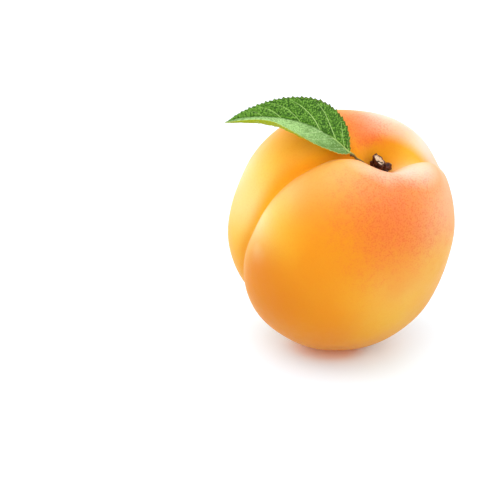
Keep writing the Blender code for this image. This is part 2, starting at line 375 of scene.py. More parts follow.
def fruit_radius(directions):
    """Distance from the middle of the fruit to its skin along each unit direction, and the hollows' depth.

    A superellipsoid, made skew and fuller in five places, less four hollows: a Gaussian bowl for the stem
    cavity, the suture as the cleft between two round lobes, a Gaussian valley opposite it, and a dimple at
    the blossom end. The valley bends towards the back as it leaves the cavity, and its front side is the
    steeper. Where the first three meet they run together, as a power sum of their depths.
    """
    x, y, z = np.moveaxis(directions, -1, 0)
    sides = np.abs(x / HALF_SUTURE) ** SQUARENESS + np.abs(y / HALF_CHEEK) ** SQUARENESS
    radius = (sides + np.abs(z / HALF_STEM_AXIS) ** SQUARENESS) ** (-1.0 / SQUARENESS)
    radius = radius * (1.0 + directions @ np.array(SKEW))
    for place, share, spread in FULL_PLACES:
        radius = radius * (1.0 + share * np.exp((directions @ np.array(place) - 1.0) / spread))
    along, across = x * radius, y * radius
    from_stem = np.arccos(np.clip(z, -1.0, 1.0)) / math.pi

    stretched = (along - CAVITY_CENTRE[0]) / CAVITY_STRETCH
    reach = np.hypot(stretched, across - CAVITY_CENTRE[1]) / CAVITY_RADIUS
    cavity = CAVITY_DEPTH * np.exp(-(reach**2)) * smooth_step(-0.1, 0.5, z)

    depth = SUTURE_DEPTH_TOP * (1.0 - from_stem) ** 1.2 + SUTURE_DEPTH_END * from_stem
    depth = depth * (1.0 - smooth_step(0.93, 1.0, from_stem)) * smooth_step(-0.25, 0.35, x)
    off_crease = np.hypot(across / SUTURE_HALF_WIDTH, CREASE_SOFTNESS) - CREASE_FILL * CREASE_SOFTNESS
    lobes = 1.0 - (1.0 - np.clip(off_crease, 0.0, 1.0)) ** 2
    suture = depth * (1.0 - lobes**SUTURE_ROUNDNESS)

    fade = smooth_step(-0.05, 0.45, -x) * (1.0 - smooth_step(0.1, VALLEY_END, from_stem))
    off_valley = across + VALLEY_BEND * smooth_step(0.40, 0.85, -x)
    valley_width = np.where(off_valley > 0.0, VALLEY_FRONT_WIDTH, VALLEY_BACK_WIDTH)
    valley = VALLEY_DEPTH * fade * np.exp(-((off_valley / valley_width) ** 2))
    blossom = np.exp(-(np.hypot(along, across) / BLOSSOM_RADIUS) ** 2) * smooth_step(0.5, 0.9, -z)

    hollows = (cavity**HOLLOW_BLEND + suture**HOLLOW_BLEND + valley**HOLLOW_BLEND) ** (1.0 / HOLLOW_BLEND)
    return radius - hollows - BLOSSOM_DEPTH * blossom, hollows


def places_field(directions, places):
    """Soft round patches: 1 less the product of what each patch (direction, spread, weight) leaves bare.

    A patch fades from its direction as an exponential of the cosine of the angle to it, less 1, over its
    spread.
    """
    bare = np.ones(directions.shape[:-1])
    for place, spread, weight in places:
        bare = bare * (1.0 - weight * np.exp((directions @ unit(np.array(place)) - 1.0) / spread))
    return 1.0 - bare


TURN = pose_matrix()
fruit_low, fruit_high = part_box("fruit")
MIDDLE = np.array((fruit_low + fruit_high) / 2) + np.array(MIDDLE_FROM_BOX_CENTRE)


def to_row(points):
    """Points of the fruit's frame in the row frame."""
    return points @ TURN.T + MIDDLE


# Where the skin is flushed or golden, where a pale sheen and rim highlights are painted on, where painted
# shade darkens it low on the fruit, where a brighter orange is painted as light, and where the valley keeps
# the flush
# out: direction in the row frame, spread and weight.
BLUSH_PLACES = (
    ((0.36, -0.85, 0.38), 0.13, 0.85),
    ((0.75, -0.50, 0.42), 0.16, 0.36),
    ((-0.08, -0.93, 0.36), 0.05, 0.20),
    ((0.13, -0.06, 0.99), 0.038, 1.0),
    ((0.45, 0.45, 0.75), 0.14, 0.5),
)
GOLD_AND_CREST_HIGHLIGHT_PLACES = (
    ((-0.93, -0.10, 0.34), 0.22, 0.9),
    ((-0.80, -0.55, 0.22), 0.10, 0.6),
    ((0.64, -0.08, 0.76), 0.032, 0.55),
    # This place paints the highlight along the front lobe's crest in gold.
    ((-0.85, -0.53, 0.03), 0.018, 0.70),
    ((0.82, -0.56, -0.10), 0.080, 0.36),
    ((0.60, -0.60, -0.55), 0.16, 0.45),
    ((-0.10, -0.75, -0.65), 0.20, 0.25),
    ((-0.30, 0.80, -0.50), 0.40, 0.6),
)
# Painted sheen: pale patches where the side and back light catch the velvet skin.
PAINTED_SHEEN_PLACES = (
    ((-0.85, -0.45, 0.28), 0.030, 0.48),
    ((-0.55, -0.60, 0.58), 0.026, 0.22),
    ((-0.84, 0.08, 0.54), 0.045, 0.46),
    ((-0.12, -0.63, 0.76), 0.050, 0.20),
    ((0.70, 0.14, 0.70), 0.045, 0.64),
    ((0.32, 0.24, 0.92), 0.035, 0.70),
    ((-0.97, -0.05, 0.22), 0.030, 0.22),
    ((0.30, -0.68, 0.68), 0.040, 0.06),
    ((0.82, -0.42, 0.38), 0.055, 0.25),
    ((0.60, -0.75, -0.28), 0.100, 0.07),
)
# Painted rim highlights along the lobes' upper edges and along the front lobe's crest.
PAINTED_RIM_HIGHLIGHT_PLACES = (
    ((0.64, -0.34, 0.69), 0.014, 0.44),
    ((0.48, -0.45, 0.75), 0.014, 0.42),
    ((0.01, -0.57, 0.82), 0.007, 0.24),
    ((0.14, -0.61, 0.78), 0.007, 0.27),
    ((0.30, -0.62, 0.72), 0.008, 0.26),
    ((0.66, -0.45, 0.61), 0.015, 0.16),
    ((-0.84, -0.54, 0.03), 0.008, 0.22),
)
# Painted shade: darker orange low on the left flank and at the bottom.
PAINTED_SHADE_PLACES = (
    ((-0.64, -0.62, -0.46), 0.12, 1.0),
    ((-0.80, -0.58, -0.20), 0.045, 1.0),
    ((-0.20, -0.62, -0.76), 0.06, 0.6),
    ((0.0, 0.0, -1.0), 0.12, 0.7),
)
# Painted light: a brighter orange where the leaf shades the back lobe.
PAINTED_LIGHT_PLACES = (((-0.25, -0.36, 0.90), 0.06, 0.85),)
VALLEY_PLACES = (((0.64, -0.08, 0.76), 0.032, 0.80),)


def make_fruit(finish):
    """The fruit's skin: rings round the stem axis from the stem end to the blossom end, whose columns crowd
    towards the suture.

    Faint puckers run down into the cavity, as a wave round it under a Gaussian ring, and a ripple makes the
    skin uneven. The underside is pressed flat where it rests: a height h becomes half the sum of h and the
    root of h squared plus the edge squared. The fields for the finish are patches of directions, weakened or
    strengthened by how far the hollows sink; among them are a painted sheen with rim highlights, a painted
    shade low on the fruit, and a brighter orange painted as light in the hollows and under the leaf.
    """
    turn = np.linspace(0.0, 2.0 * math.pi, FRUIT_COLUMNS, endpoint=False)
    turn = turn - SUTURE_CROWDING * np.sin(turn)
    fall = np.linspace(0.0, math.pi, FRUIT_ROWS)[:, None]
    ring = np.sin(fall)
    directions = np.stack([ring * np.cos(turn), ring * np.sin(turn), np.cos(fall) + 0.0 * turn], axis=-1)
    radius, hollows = fruit_radius(directions)
    own = directions * radius[..., None]
    from_centre = own[..., 0] - PUCKER_CENTRE
    bowl = np.hypot(from_centre / CAVITY_STRETCH, own[..., 1]) / CAVITY_RADIUS
    about = np.arctan2(own[..., 1], from_centre)
    pucker = np.sin(PUCKERS * about + 2.0 * np.sin(3.0 * about + 1.0)) * np.exp(-((bowl - 0.75) / 0.4) ** 2)
    pucker = pucker * smooth_step(0.2, 0.6, directions[..., 2])
    wave = ripple(own, SKIN_WAVE_LENGTH, SKIN_WAVE_SEED)
    radius = radius + PUCKER_HEIGHT * pucker + SKIN_WAVE_HEIGHT * wave
    rings = to_row(directions * radius[..., None])
    height = rings[..., 2]
    rings[..., 2] = 0.5 * (height + np.hypot(height, FLAT_EDGE))
    rings[0], rings[-1] = rings[0].mean(axis=0), rings[-1].mean(axis=0)
    facing = unit(rings - MIDDLE)
    sunk = hollows / DEEP_HOLLOW
    in_suture = smooth_step(0.08, 0.34, sunk) * smooth_step(-1.0 * MM, 3.0 * MM, own[..., 0])
    # Painted sheen and rim highlights, kept out of the hollows.
    open_painted_sheen_mask = places_field(facing, PAINTED_SHEEN_PLACES) * (1.0 - smooth_step(0.14, 0.42, sunk))
    flush = places_field(facing, BLUSH_PLACES) * (1.0 - places_field(facing, VALLEY_PLACES))
    fields = {
        "hollow": np.clip(sunk, 0.0, 1.0),
        "blush": flush * (1.0 - smooth_step(0.30, 0.75, sunk)),
        "gold": places_field(facing, GOLD_AND_CREST_HIGHLIGHT_PLACES) * (1.0 - 0.6 * in_suture),
        "painted_sheen_mask": np.maximum(open_painted_sheen_mask, places_field(facing, PAINTED_RIM_HIGHLIGHT_PLACES)),
        "sheen_warm_side": 1.0 - smooth_step(-0.2, 0.3, facing[..., 0]),
        "painted_shade_mask": places_field(facing, PAINTED_SHADE_PLACES),
        "painted_light_mask": np.maximum(places_field(facing, PAINTED_LIGHT_PLACES), 0.8 * smooth_step(0.4, 0.95, sunk)),
    }
    skin("apricot_fruit", [rings], finish, "fruit", [fields])


# ------------------------------------------------------------------ the leaf


def blade_route():
    """The midrib, sampled at every ring of the blade."""
    return route_through(np.array(MIDRIB) * MM, BLADE_ROWS)


def blade_width(shares):
    """Half width along the blade: a power of the sine of a power of the length."""
    return BLADE_HALF_WIDTH * np.sin(math.pi * shares**BLADE_WIDEST) ** BLADE_TAPER


def fold(knots, shares):
    """The slopes at the midrib and at the margin and the width factor, read off the knots of one half, with
    the corners at the knots rounded by a mean over nearby shares."""
    knots = np.array(knots).T
    nearby = shares[..., None] + np.linspace(-KNOT_ROUNDING, KNOT_ROUNDING, 9)
    return [np.interp(nearby, knots[0], column).mean(axis=-1) for column in knots[1:]]


def blade_surface(sides):
    """The blade's middle surface, for every ring and for sides from -1 (near) to 1 (far).

    Across each half the slope turns evenly from its value at the midrib to its value at the margin, so a
    half is the arc that those slopes trace, scaled to the half width and its teeth. A tooth rises slowly
    towards the tip and falls fast, and every other tooth is larger.
    """
    route = blade_route()
    shares = np.linspace(0.0, 1.0, BLADE_ROWS)[:, None]
    tangent = unit(np.gradient(route, axis=0))
    forward = unit(np.array([0.0, -1.0, 0.0]) + tangent * tangent[:, 1:2])
    upward = np.cross(tangent, forward)
    reach = np.abs(sides)[None, :]
    teeth = (shares * TEETH) % 1.0
    wave = np.where(teeth < TOOTH_RISE, (teeth / TOOTH_RISE) ** 1.4, (1.0 - teeth) / (1.0 - TOOTH_RISE))
    wave = wave * np.where((shares * TEETH) % 2.0 < 1.0, 1.25, 0.75)
    near = fold(NEAR_FOLD, shares)
    far = fold(FAR_FOLD, shares)
    first, last, wider = (np.where(sides < 0.0, a, b) for a, b in zip(near, far))
    width = blade_width(shares)
    tooth = TOOTH_HEIGHT * (wave - 0.5) * np.clip(width / BLADE_HALF_WIDTH * 3.0, 0.0, 1.0)
    width = np.maximum(width * wider + tooth * reach**8, BLADE_LEAST_WIDTH)
    first, last = np.radians(first), np.radians(last)
    steps = (np.arange(12) + 0.5) / 12.0
    slopes = first[..., None] + ((last - first) * reach)[..., None] * steps
    out = (np.cos(slopes).mean(axis=-1) * reach * width)[..., None]
    rise = (np.sin(slopes).mean(axis=-1) * reach * width)[..., None]
    return route[:, None] + forward[:, None] * out + upward[:, None] * rise


def vein_fields(shares, sides):
    """How near each point is to the midrib and to a side vein, from 0 to 1, and the distance to the nearest.

    A side vein leaves the midrib at its share of the length and runs out towards the tip, a little arched:
    share = start + slant * (0.9 side + 0.1 side cubed). Veins alternate a little from half to half. The
    nearness is a Gaussian of the distance to the vein.
    """
    reach = np.abs(sides)
    half = np.maximum(blade_width(shares), 0.2 * MM)
    midrib = np.exp(-((reach * half / MIDRIB_HALF_WIDTH) ** 2))
    shape = np.broadcast(shares, sides).shape
    nearest, bold = np.full(shape, 1.0), np.zeros(shape)
    for number, (start, slant, weight) in enumerate(SIDE_VEINS):
        start = start + 0.02 * np.where(sides < 0.0, 1.0, 0.0) * (-1) ** number
        path = start + slant * (0.9 * reach + 0.1 * reach**3)
        distance = np.abs(shares - path) * BLADE_LENGTH * VEIN_SLOPE
        nearest = np.minimum(nearest, distance)
        bold = np.maximum(bold, weight * np.exp(-((distance / VEIN_HALF_WIDTH) ** 2)))
    return midrib, bold * (1.0 - 0.7 * reach**3), nearest


def make_leaf(finish, stalk_finish):
    """The blade, and its stalk with the rib that carries on under the blade.

    The blade's two faces lie half a thickness off the middle surface, thinner towards the margin, after that
    surface is raised by a smooth step of the distance to the nearest side vein, sunk at the midrib, and
    crinkled by ripples. The rings go out over the face and back over the underside.
    """
    even = np.linspace(-1.0, 1.0, BLADE_COLUMNS)
    sides = 0.5 * np.sin(even * math.pi / 2.0) + 0.5 * even
    shares = np.linspace(0.0, 1.0, BLADE_ROWS)[:, None]
    middle = blade_surface(sides)
    normal = -unit(np.cross(np.gradient(middle, axis=0), np.gradient(middle, axis=1)))
    midrib, side_vein, nearest = vein_fields(shares, sides)
    quilt = smooth_step(0.0, QUILT_WIDTH, nearest) * (1.0 - midrib)
    fade = np.clip(blade_width(shares) / (2.0 * MM), 0.0, 1.0) * (1.0 - np.abs(sides) ** 6)
    crinkle = sum(ripple(middle, length, seed, waves) * high for high, length, seed, waves in CRINKLES)
    relief = MM * fade * (QUILT_HEIGHT * quilt - MIDRIB_DEPTH * midrib + crinkle * (1.0 - midrib))
    edge = np.sqrt(np.clip(1.0 - sides**2, 0.0, 1.0))
    half_thick = 0.5 * BLADE_THICKNESS * (0.25 + 0.75 * edge)
    top = middle + normal * (relief + half_thick)[..., None]
    bottom = middle + normal * (relief - half_thick)[..., None]
    rings = np.concatenate([top, bottom[:, -2:0:-1]], axis=1)
    rings[0], rings[-1] = rings[0].mean(axis=0), rings[-1].mean(axis=0)

    def both(face, under):
        """A field over the face and the underside, as the rings go round them."""
        return np.concatenate([face, under[:, -2:0:-1]], axis=1)

    plain = np.zeros_like(relief)
    fields = {
        "vein": both(side_vein * fade, side_vein * fade),
        "midrib": both(midrib, midrib),
        "under": both(plain, plain + 1.0),
        "across": both(plain + sides, plain + sides),
        "along": both(plain + shares, plain + shares),
    }
    skin("leaf_blade", [rings], finish, "leaf", [fields])

    thin = slice(None, None, BLADE_ROWS // RIB_SAMPLES)
    rib_way = blade_route()[thin]
    rib_below = np.interp(np.linspace(0.0, 1.0, len(rib_way)), *zip(*RIB_BELOW)) * MM
    rib_way = rib_way - normal[thin, BLADE_COLUMNS // 2] * rib_below[:, None]
    rib_way = rib_way[1 : int(len(rib_way) * RIB_END) : RIB_STEP]
    route = route_through(np.vstack([to_row(np.array(STALK_FOOT) * MM), rib_way]), STALK_ROWS)
    share = np.linspace(0.0, 1.0, STALK_ROWS)
    stalk = tube(route, STALK_RADIUS * np.interp(share, *zip(*STALK_TAPER)), STALK_COLUMNS)
    fields = [{"along": np.repeat(share[:, None], STALK_COLUMNS, axis=1)}]
    glands = ovoids(GLANDS, GLAND_SEED)
    fields += [{"along": np.zeros(gland.shape[:2])} for gland in glands]
    skin("leaf_stalk", [stalk, *glands], stalk_finish, "leaf", fields)


# ------------------------------------------------------------------ the stem stub


def make_stem(bark, scales_finish):
    """The stub and the bud scales beside it.

    The stub is a turned outline whose radius swells with ripples, the knobs, and with a wave round it, the
    ridges. Its end slants as a plane, and on the pale wood there a Gaussian crack, a step along it, ripples
    for chips and one Gaussian splinter at the rim are added to the height.
    """
    outline = np.array(STUB_OUTLINE)
    place = np.linspace(0.0, len(outline) - 1.0, STUB_ROWS)
    radius = np.interp(place, np.arange(len(outline)), outline[:, 0])[:, None] * MM
    height = np.interp(place, np.arange(len(outline)), outline[:, 1])[:, None] * MM
    turn = np.linspace(0.0, 2.0 * math.pi, STUB_COLUMNS, endpoint=False)
    wood = smooth_step(BROKEN_END_FROM - 0.25, BROKEN_END_FROM + 0.25, place)[:, None] + 0.0 * turn
    cylinder = np.stack([radius * np.cos(turn), radius * np.sin(turn), height + 0.0 * turn], axis=-1)
    ridges = RIDGE_HEIGHT * np.sin(RIDGES * turn + height / MM * 0.8) * (1.0 - wood)
    knobs = sum(high * ripple(cylinder, length, seed) for high, length, seed in KNOBS)
    swell = 1.0 + (ridges + knobs * (1.0 - 0.6 * wood)) * smooth_step(0.0, 0.6 * MM, height)
    across, beside = radius * swell * np.cos(turn), radius * swell * np.sin(turn)
    slant = (END_SLANT * across - END_TIP * beside) * smooth_step(2.4 * MM, 4.8 * MM, height)
    split = np.exp(-(((beside - SPLIT_ASIDE - SPLIT_TURN * across) / SPLIT_HALF_WIDTH) ** 2)) * wood
    split = split * (1.0 - smooth_step(0.85 * MM, 1.1 * MM, np.abs(across)))
    splinter = SPLINTER_HEIGHT * np.exp(-((turn - SPLINTER_TURN) ** 2) / 0.10)
    splinter = splinter * np.exp(-(((place[:, None] - SPLINTER_AT) / 0.9) ** 2))
    chips = CHIP_HEIGHT * ripple(cylinder, CHIP_LENGTH, CHIP_SEED) * wood - SPLIT_DEPTH * split
    step = STEP_HEIGHT * wood * smooth_step(0.30 * MM, 0.45 * MM, beside - SPLIT_TURN * across)
    own = np.stack([across + STUB_LEAN * height, beside, height + slant + chips - step + splinter], -1)
    rings = to_row(own + np.array(STEM_FOOT))
    rings[0], rings[-1] = rings[0].mean(axis=0), rings[-1].mean(axis=0)
    fields = {"wood": wood, "split": split}
    skin("stem_stub", [rings], bark, "stem", [fields])

    scales = ovoids(BUD_SCALES, BUD_SCALE_SEED)
    fields = [{key: np.zeros(scale.shape[:2]) for key in ("wood", "split")} for scale in scales]
    skin("bud_scales", scales, scales_finish, "stem", fields)


def ovoids(sizes, seed):
    """A closed shell in the row frame for each centre, half sizes, tilt and heading."""
    return [to_row(ovoid(*size, seed + number)) for number, size in enumerate(sizes)]


def ovoid(centre, radii, tilt, heading, seed):
    """Rings of an ovoid with drawn-out ends, in metres: the girth follows a power of the sine of the fall,
    ripples make it uneven, and it is scaled, tilted and moved to its place."""
    fall = np.linspace(0.0, math.pi, OVOID_ROWS)[:, None]
    turn = np.linspace(0.0, 2.0 * math.pi, OVOID_COLUMNS, endpoint=False)
    girth = np.sin(fall) ** OVOID_POINT
    shape = np.stack([girth * np.cos(turn), girth * np.sin(turn), np.cos(fall) + 0.0 * turn], axis=-1)
    shape = shape * (1.0 + 0.12 * ripple(shape, 1.1, seed)[..., None])
    lean = Matrix.Rotation(math.radians(heading), 3, "Z") @ Matrix.Rotation(math.radians(tilt), 3, "Y")
    placed = (shape * np.array(radii)) @ np.array(lean).T + np.array(centre)
    placed[0], placed[-1] = placed[0].mean(axis=0), placed[-1].mean(axis=0)
    return placed * MM


# ------------------------------------------------------------------ finishes


def add(tree, kind, inputs=(), **settings):
    """A node with its settings; an input given as a socket is linked, and any other is its value."""
    node = tree.nodes.new(kind)
    for name, value in settings.items():
        setattr(node, name, value)
    for name, value in dict(inputs).items():
        if isinstance(value, bpy.types.NodeSocket):
            tree.links.new(value, node.inputs[name])
        else:
            node.inputs[name].default_value = value
    return node


def field(tree, name):
    """The value of a stored field."""
    return add(tree, "ShaderNodeAttribute", attribute_name=name).outputs["Fac"]


def ramp(tree, value, low, high, first=0.0, last=1.0):
    """A smooth rise of the value from first at low to last at high."""
    inputs = {"Value": value, "From Min": low, "From Max": high, "To Min": first, "To Max": last}
    return add(tree, "ShaderNodeMapRange", inputs, interpolation_type="SMOOTHSTEP").outputs["Result"]


def maths(tree, operation, a, b=0.0):
    """One sum, product or other operation on two values."""
    return add(tree, "ShaderNodeMath", {0: a, 1: b}, operation=operation).outputs[0]


def blend(tree, share, a, b):
    """Colour a turned into colour b by the share."""
    node = add(tree, "ShaderNodeMix", data_type="RGBA")
    for socket, value in ((0, share), (6, a), (7, b)):
        if isinstance(value, bpy.types.NodeSocket):
            tree.links.new(value, node.inputs[socket])
        elif socket:
            node.inputs[socket].default_value = (*value, 1.0)
        else:
            node.inputs[socket].default_value = value
    return node.outputs[2]


def noise(tree, place, size, detail=3.0):
    """Noise whose features are about the given size, in metres."""
    inputs = {"Vector": place, "Scale": 1.0 / size, "Detail": detail}
    return add(tree, "ShaderNodeTexNoise", inputs).outputs["Fac"]


def new_finish(name, **sockets):
    """A material, its node tree, its shader and the Object coordinates; plain values go on the shader."""
    material = bpy.data.materials.new(name)
    material.use_nodes = True
    tree = material.node_tree
    shader = tree.nodes["Principled BSDF"]
    for socket, value in sockets.items():
        shader.inputs[socket.replace("_", " ")].default_value = value
    place = add(tree, "ShaderNodeTexCoord").outputs["Object"]
    return material, tree, shader, place


def bump(tree, height, distance, below=None):
    """A bump that rises by the distance, in metres, as the height goes from 0 to 1, over the one below."""
    inputs = {"Height": height, "Distance": distance, "Strength": 1.0}
    if below is not None:
        inputs["Normal"] = below
    return add(tree, "ShaderNodeBump", inputs).outputs["Normal"]


ORANGE = (0.79, 0.272, 0.005)
GOLD = (0.81, 0.465, 0.018)
FLUSH = (0.80, 0.168, 0.024)
# A brighter orange painted as light into the hollows and under the leaf.
PAINTED_LIGHT_ORANGE = (0.98, 0.39, 0.004)
# The colour of the painted sheen, and its warmer, yellower tint on the left side.
PAINTED_SHEEN = (0.88, 0.82, 0.74)
PAINTED_SHEEN_WARM = (0.87, 0.76, 0.46)
# The colour of the painted shade low on the fruit.
PAINTED_SHADE_ORANGE = (0.66, 0.195, 0.0)
SPECKLE = (0.68, 0.12, 0.008)


def skin_finish():
    """Ripe skin: gold into orange into a red flush, freckled where it is flushed, with painted shade low on
    the fruit, a brighter orange painted as light in the hollows and under the leaf, and a pale painted sheen
    with rim highlights over it.
    """
    material, tree, shader, place = new_finish(
        "apricot_velvet",
        Roughness=0.55,
        Sheen_Weight=0.15,
        Sheen_Roughness=0.4,
        Sheen_Tint=(1.0, 0.95, 0.90, 1.0),
        Subsurface_Weight=0.30,
        Subsurface_Scale=0.004,
    )
    shader.inputs["Subsurface Radius"].default_value = (1.0, 0.42, 0.12)
    shader.inputs["Specular IOR Level"].default_value = 0.12
    drift = noise(tree, place, 14.0 * MM, 1.0)
    mottle = noise(tree, place, 1.6 * MM, 4.0)
    freckle = noise(tree, place, 0.38 * MM, 3.0)

    gold = maths(tree, "ADD", field(tree, "gold"), ramp(tree, drift, 0.3, 0.7, -0.10, 0.10))
    # Painted light: the hollows turn more golden, lighter against their shade.
    gold = maths(tree, "ADD", gold, ramp(tree, field(tree, "hollow"), 0.10, 0.40, 0.0, 0.12))
    colour = blend(tree, ramp(tree, gold, 0.1, 0.9), ORANGE, GOLD)
    # Painted light: a brighter orange in the hollows and where the leaf shades the back lobe.
    colour = blend(tree, field(tree, "painted_light_mask"), colour, PAINTED_LIGHT_ORANGE)
    flush = maths(tree, "ADD", field(tree, "blush"), ramp(tree, drift, 0.3, 0.7, -0.08, 0.08))
    flush = maths(tree, "ADD", flush, ramp(tree, mottle, 0.3, 0.7, -0.10, 0.10))
    flush = maths(tree, "ADD", flush, ramp(tree, freckle, 0.35, 0.65, -0.07, 0.07))
    colour = blend(tree, ramp(tree, flush, 0.12, 1.05), colour, FLUSH)
    # Painted shade: darker orange low on the left flank and at the bottom.
    colour = blend(tree, field(tree, "painted_shade_mask"), colour, PAINTED_SHADE_ORANGE)
    # Painted sheen and rim highlights: pale, warmer on the left side, with fewer freckles under them.
    painted_sheen_mask = maths(tree, "MULTIPLY", field(tree, "painted_sheen_mask"), ramp(tree, drift, 0.3, 0.7, 0.85, 1.1))
    colour = blend(tree, painted_sheen_mask, colour, blend(tree, field(tree, "sheen_warm_side"), PAINTED_SHEEN, PAINTED_SHEEN_WARM))
    bare = ramp(tree, painted_sheen_mask, 0.2, 0.6, 1.0, 0.4)
    speckle = ramp(tree, flush, 0.25, 0.75, 0.08, 0.40)
    speckle = maths(tree, "MULTIPLY", ramp(tree, freckle, 0.46, 0.66), speckle)
    speckle = maths(tree, "MULTIPLY", speckle, bare)
    colour = blend(tree, speckle, colour, SPECKLE)
    tree.links.new(colour, shader.inputs["Base Color"])
    tree.links.new(ramp(tree, mottle, 0.3, 0.7, 0.50, 0.60), shader.inputs["Roughness"])
    peel = bump(tree, noise(tree, place, 1.3 * MM, 2.0), 0.03 * MM)
    fuzz = bump(tree, noise(tree, place, 0.22 * MM, 3.0), 0.025 * MM, peel)
    tree.links.new(fuzz, shader.inputs["Normal"])
    return material


LEAF_DARK = (0.022, 0.080, 0.002)
LEAF_MID = (0.075, 0.210, 0.010)
LEAF_LIGHT = (0.19, 0.40, 0.050)
LEAF_SHADED = (0.11, 0.23, 0.042)
# Painted sheen on the near half, where light glances off the waxy face.
LEAF_PAINTED_SHEEN = (0.40, 0.64, 0.24)
LEAF_VEIN = (0.46, 0.68, 0.20)
# The near half's veins under that painted sheen.
LEAF_VEIN_UNDER_SHEEN = (0.62, 0.80, 0.42)
LEAF_RIM = (0.10, 0.115, 0.010)
LEAF_UNDER = (0.26, 0.38, 0.09)
LEAF_LIT = (0.31, 0.37, 0.003)
LEAF_RIB = (0.44, 0.55, 0.20)
# A painted highlight along the near margin's edge.
LEAF_EDGE_HIGHLIGHT = (0.55, 0.62, 0.16)


def leaf_finish():
    """Leaf: a fine net of raised light cells and dark gaps, slightly waxy above, yellow-green and lit through
    where the near margin turns up. The near half's pale sheen and the shade at its base, the shade in the
    fold and the bright line along the near margin are painted."""
    material, tree, shader, place = new_finish("leaf_blade_green", Roughness=0.45)
    shader.inputs["Specular IOR Level"].default_value = 0.2
    across, along = field(tree, "across"), field(tree, "along")
    cells = noise(tree, place, 0.34 * MM, 1.0)
    patch = noise(tree, place, 3.0 * MM, 3.0)
    grain = noise(tree, place, 0.25 * MM, 2.0)
    far = blend(tree, ramp(tree, patch, 0.35, 0.65, 0.0, 0.30), LEAF_MID, LEAF_DARK)
    far = blend(tree, ramp(tree, along, 0.45, 0.80, 0.0, 0.45), far, LEAF_LIGHT)
    far = blend(tree, ramp(tree, cells, 0.52, 0.64, 0.0, 0.9), far, LEAF_LIGHT)
    far = blend(tree, ramp(tree, cells, 0.50, 0.38, 0.0, 0.9), far, LEAF_DARK)
    # The near half: painted shade at its base turning into a painted pale sheen further out.
    fold = maths(tree, "ADD", along, ramp(tree, patch, 0.3, 0.7, -0.08, 0.08))
    near = blend(tree, ramp(tree, fold, 0.10, 0.48), LEAF_SHADED, LEAF_PAINTED_SHEEN)
    near = blend(tree, ramp(tree, cells, 0.52, 0.40, 0.0, 0.6), near, LEAF_SHADED)
    near = blend(tree, ramp(tree, cells, 0.54, 0.66, 0.0, 0.45), near, LEAF_PAINTED_SHEEN)
    colour = blend(tree, ramp(tree, across, 0.04, -0.04), far, near)
    crease = ramp(tree, field(tree, "midrib"), 0.35, 0.9, 0.0, 0.8)
    # Painted shade in the fold along the midrib, beyond the midrib's pale base.
    painted_crease_shade = maths(tree, "MULTIPLY", crease, ramp(tree, along, 0.12, 0.22, 0.0, 0.45))
    colour = blend(tree, painted_crease_shade, colour, LEAF_DARK)
    pale_crease = maths(tree, "MULTIPLY", crease, ramp(tree, along, 0.22, 0.12))
    colour = blend(tree, pale_crease, colour, LEAF_VEIN)
    veins = maths(tree, "MULTIPLY", field(tree, "vein"), ramp(tree, grain, 0.30, 0.60, 0.65, 1.0))
    veins = maths(tree, "MULTIPLY", veins, ramp(tree, across, -0.05, 0.02, 0.55, 1.0))
    # Veins are paler on the near half, under its painted sheen.
    pale = blend(tree, ramp(tree, across, 0.02, -0.05), LEAF_VEIN, LEAF_VEIN_UNDER_SHEEN)
    colour = blend(tree, ramp(tree, veins, 0.05, 0.60, 0.0, 0.95), colour, pale)
    reach = maths(tree, "ABSOLUTE", across)
    colour = blend(tree, ramp(tree, reach, 0.92, 0.99, 0.0, 0.75), colour, LEAF_RIM)
    # Painted highlight along the near margin's edge.
    colour = blend(tree, ramp(tree, across, -0.96, -0.985), colour, LEAF_EDGE_HIGHLIGHT)
    ribs = maths(tree, "MAXIMUM", field(tree, "vein"), field(tree, "midrib"))
    rough = blend(tree, ramp(tree, cells, 0.38, 0.62, 0.0, 0.4), LEAF_UNDER, LEAF_MID)
    rough = blend(tree, ramp(tree, ribs, 0.05, 0.60, 0.0, 0.8), rough, LEAF_RIB)
    below = blend(tree, ramp(tree, across, -0.30, -0.55), rough, LEAF_LIT)
    colour = blend(tree, ramp(tree, field(tree, "under"), 0.3, 0.7), colour, below)
    tree.links.new(colour, shader.inputs["Base Color"])
    tree.links.new(ramp(tree, grain, 0.3, 0.7, 0.38, 0.52), shader.inputs["Roughness"])
    low = bump(tree, cells, 0.14 * MM)
    tree.links.new(bump(tree, grain, 0.03 * MM, low), shader.inputs["Normal"])
    return material


STALK_BROWN = (0.07, 0.03, 0.008)
STALK_OLIVE = (0.15, 0.11, 0.02)
STALK_GREEN = (0.40, 0.56, 0.14)
STALK_SPOT = (0.10, 0.08, 0.02)


def stalk_finish():
    """Leaf stalk: brown at its foot, turning olive, then green where it runs under the blade, and spotted."""
    material, tree, shader, place = new_finish("leaf_stalk_green", Roughness=0.5)
    along = field(tree, "along")
    colour = blend(tree, ramp(tree, along, 0.02, 0.14), STALK_BROWN, STALK_OLIVE)
    colour = blend(tree, ramp(tree, along, 0.20, 0.26), colour, STALK_GREEN)
    spots = noise(tree, place, 0.5 * MM)
    colour = blend(tree, ramp(tree, spots, 0.45, 0.65, 0.0, 0.5), colour, STALK_SPOT)
    tree.links.new(colour, shader.inputs["Base Color"])
    tree.links.new(bump(tree, noise(tree, place, 0.3 * MM), 0.03 * MM), shader.inputs["Normal"])
    return material


BARK_DARK = (0.020, 0.003, 0.002)
BARK_RED = (0.12, 0.028, 0.010)
# Pale flecks painted as fine highlights on the bark.
BARK_PAINTED_GLINT = (0.22, 0.10, 0.05)
WOOD_DARK = (0.46, 0.27, 0.15)
WOOD_PALE = (0.90, 0.70, 0.50)


